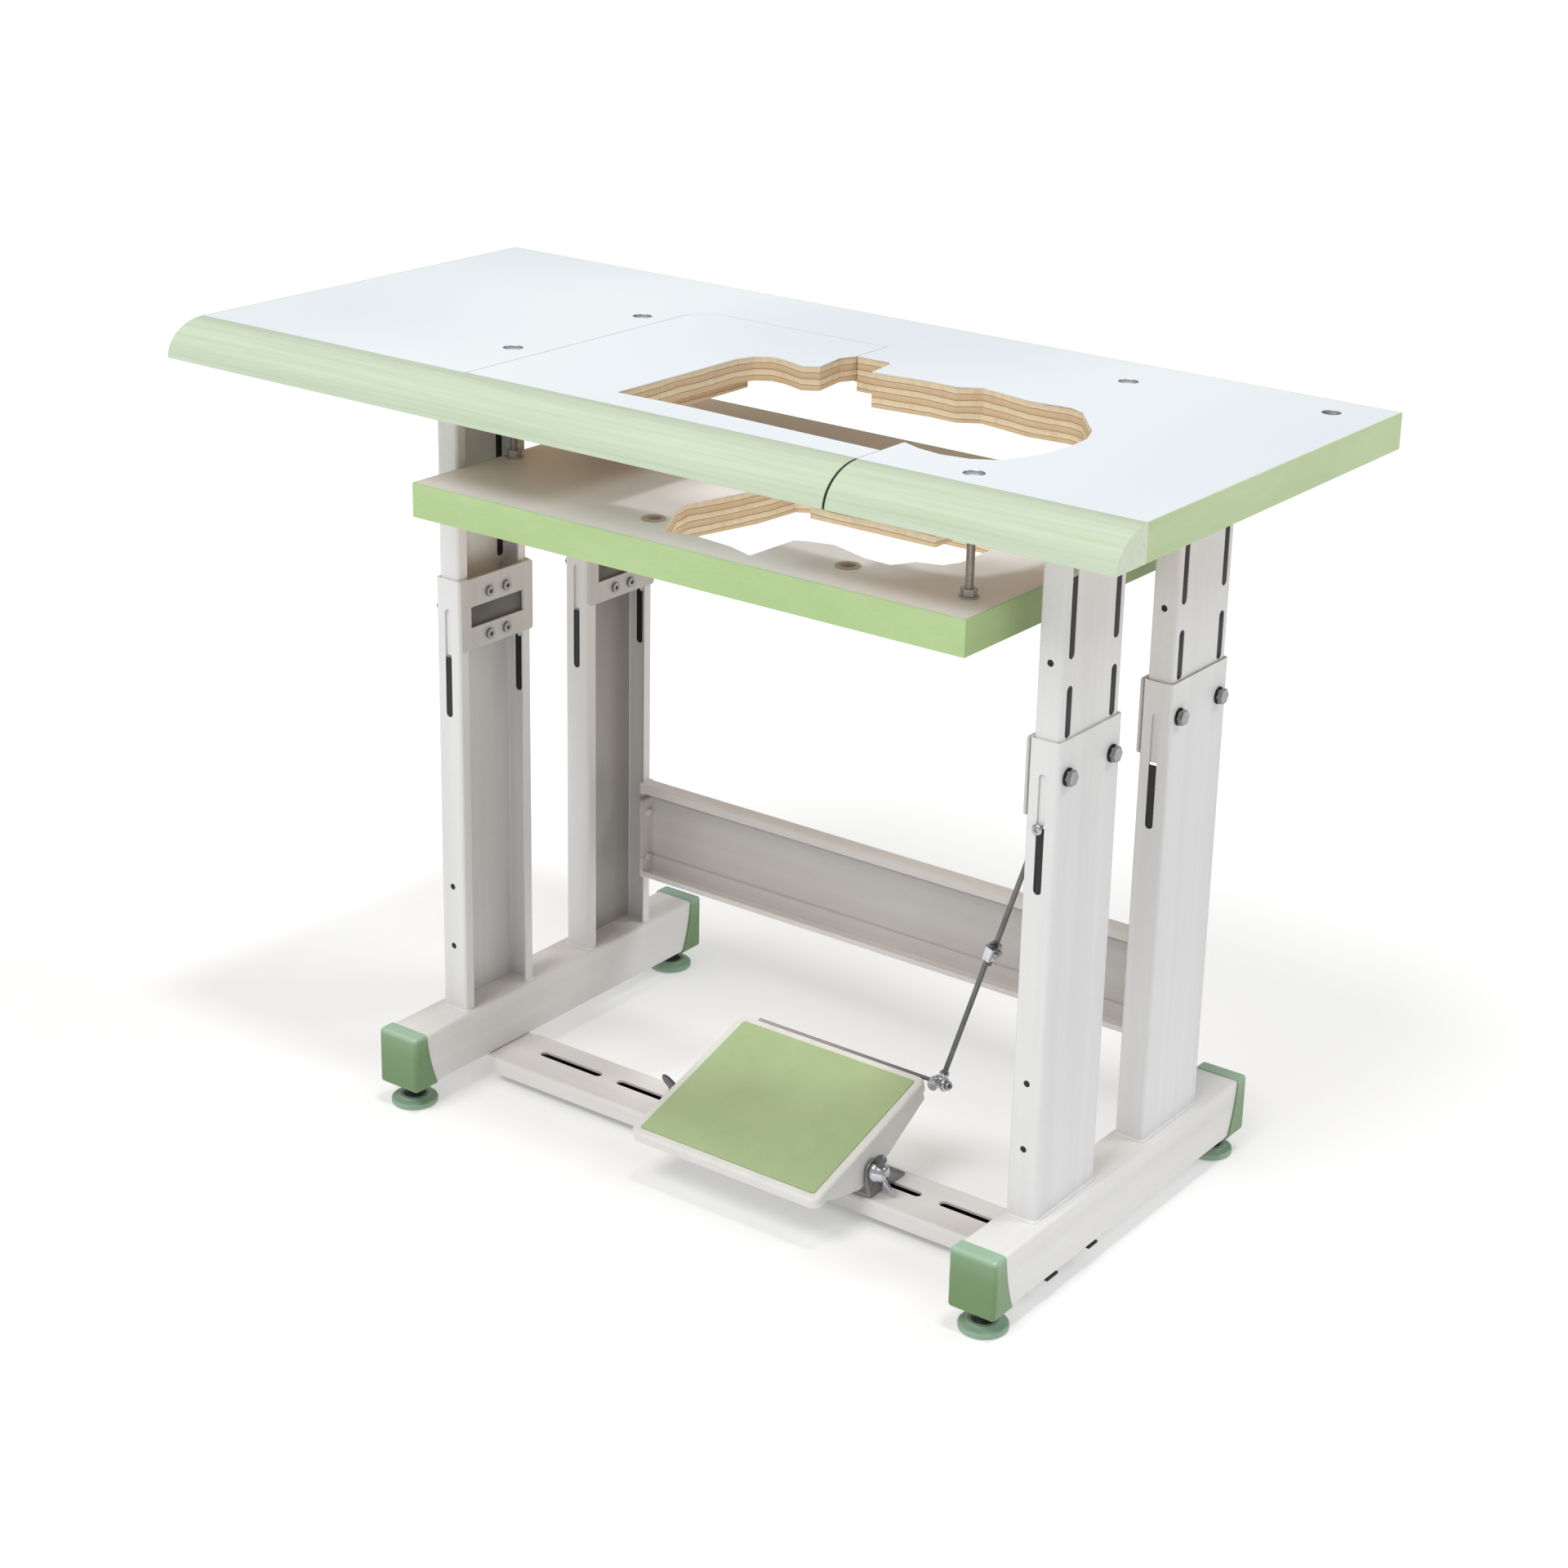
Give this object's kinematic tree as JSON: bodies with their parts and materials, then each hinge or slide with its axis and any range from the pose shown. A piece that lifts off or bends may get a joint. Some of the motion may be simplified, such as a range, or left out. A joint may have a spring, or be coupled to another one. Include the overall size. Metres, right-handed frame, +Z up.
{
  "type": "industrial sewing machine table and stand",
  "caption": "Height-adjustable steel stand with treadle pedal carrying a laminated work top and a hung lower board, both cut out to seat a sunk sewing machine head.",
  "frame": {"origin": "middle of the base of the whole box, on the floor", "axes": "+X right along the top's length as the operator sees it, +Y away from the operator, +Z up"},
  "size_m": [1.06, 0.5, 0.75],
  "materials": {
    "white_laminate": "satin white laminate",
    "green_rail": "glossy pale green moulded rail with a faint grain",
    "green_band": "satin pale green edge band",
    "plywood": "bare plywood, layered edge",
    "leg_paint": "off-white powder coat",
    "pedal_paint": "off-white powder coat on a casting",
    "green_cap": "moulded grey-green plastic",
    "pad_plastic": "dark green moulded pad on a black steel stud",
    "mat_rubber": "pale green rubber",
    "zinc": "zinc-plated steel",
    "chrome": "bright plated",
    "rod_steel": "drawn steel rod"
  },
  "bodies": {
    "stand": {"foot_beam_left": "leg_paint", "foot_beam_right": "leg_paint", "foot_end_caps": "green_cap", "leveller_locknuts": "zinc", "lower_column_front_left": "leg_paint", "lower_column_rear_left": "leg_paint", "lower_column_front_right": "leg_paint", "lower_column_rear_right": "leg_paint", "clamp_plates": "leg_paint", "clamp_plate_nut_strips": "zinc", "clamp_plate_screws": "zinc", "column_clamp_bolts": "zinc", "column_clamp_washers": "zinc", "column_clamp_nuts": "zinc", "rear_beam": "leg_paint", "rear_beam_bolts": "zinc", "pedal_crossbar": "leg_paint", "crossbar_bolts": "zinc"},
    "table": {"upper_column_front_left": "leg_paint", "upper_column_rear_left": "leg_paint", "upper_column_front_right": "leg_paint", "upper_column_rear_right": "leg_paint", "column_top_brackets": "leg_paint", "bracket_wood_screws": "zinc", "table_board": "plywood", "table_laminate": "white_laminate", "table_edge_band": "green_band", "front_rail_left": "green_rail", "front_rail_right": "green_rail", "rail_joint_batten": "plywood", "rail_joint_screws": "zinc", "lower_board": "plywood", "lower_board_laminate": "white_laminate", "lower_board_edge_band": "green_band", "hanger_rods": "zinc", "hanger_nuts": "zinc", "hanger_washers": "zinc"},
    "insert": {"insert_panel": "plywood", "insert_laminate": "white_laminate", "insert_batten": "plywood"},
    "pedal_carriage": {"pedal_bracket_left": "leg_paint", "pedal_bracket_right": "leg_paint", "pedal_bracket_bolts": "zinc"},
    "wing_bolt_left": {"pedal_wing_bolt_left": "chrome"},
    "wing_bolt_right": {"pedal_wing_bolt_right": "chrome"},
    "pedal": {"pedal_frame": "pedal_paint", "pedal_mat": "mat_rubber", "pedal_link_bar": "rod_steel", "link_bar_collars": "zinc"},
    "pitman_lower": {"pitman_knuckle": "zinc", "pitman_knuckle_screw": "chrome", "pitman_rod_lower": "rod_steel", "pitman_clamp": "zinc", "pitman_clamp_screws": "zinc"},
    "pitman_upper": {"pitman_rod_upper": "rod_steel", "pitman_rod_end": "zinc"},
    "leveller_front_left": {"leveller_front_left": "pad_plastic"},
    "leveller_rear_left": {"leveller_rear_left": "pad_plastic"},
    "leveller_front_right": {"leveller_front_right": "pad_plastic"},
    "leveller_rear_right": {"leveller_rear_right": "pad_plastic"}
  },
  "joints": [
    {"name": "height_adjust", "type": "slide", "parent": "stand", "child": "table", "axis": [0, 0, 1], "range_m": [-0.022, 0.03]},
    {"name": "insert_lift", "type": "slide", "parent": "table", "child": "insert", "axis": [0, 0, 1], "range_m": [0, 0.08]},
    {"name": "pedal_shift", "type": "slide", "parent": "stand", "child": "pedal_carriage", "axis": [1, 0, 0], "range_m": [-0.018, 0.036]},
    {"name": "pedal_tilt", "type": "hinge", "parent": "pedal_carriage", "child": "pedal", "pos_m": [0.132, -0.137, 0.052], "axis": [1, 0, 0], "range_deg": [-12, 12]},
    {"name": "wing_bolt_left_turn", "type": "hinge", "parent": "pedal_carriage", "child": "wing_bolt_left", "pos_m": [0.015, -0.137, 0.052], "axis": [1, 0, 0], "continuous": true},
    {"name": "wing_bolt_right_turn", "type": "hinge", "parent": "pedal_carriage", "child": "wing_bolt_right", "pos_m": [0.249, -0.137, 0.052], "axis": [1, 0, 0], "continuous": true},
    {"name": "pitman_swing", "type": "hinge", "parent": "pedal", "child": "pitman_lower", "pos_m": [0.255, -0.04257, 0.10627], "axis": [1, 0, 0], "range_deg": [-14, 14]},
    {"name": "pitman_extend", "type": "slide", "parent": "pitman_lower", "child": "pitman_upper", "axis": [0.304, 0, 0.9527], "range_m": [-0.05, 0.012]},
    {"name": "leveller_front_left_turn", "type": "hinge", "parent": "stand", "child": "leveller_front_left", "pos_m": [-0.249, -0.227, 0.02], "axis": [0, 0, 1], "continuous": true},
    {"name": "leveller_rear_left_turn", "type": "hinge", "parent": "stand", "child": "leveller_rear_left", "pos_m": [-0.249, 0.177, 0.02], "axis": [0, 0, 1], "continuous": true},
    {"name": "leveller_front_right_turn", "type": "hinge", "parent": "stand", "child": "leveller_front_right", "pos_m": [0.429, -0.227, 0.02], "axis": [0, 0, 1], "continuous": true},
    {"name": "leveller_rear_right_turn", "type": "hinge", "parent": "stand", "child": "leveller_rear_right", "pos_m": [0.429, 0.177, 0.02], "axis": [0, 0, 1], "continuous": true}
  ],
  "couplings": [
    {"joint": "pitman_swing", "follows": "pedal_tilt", "ratio": -1}
  ]
}
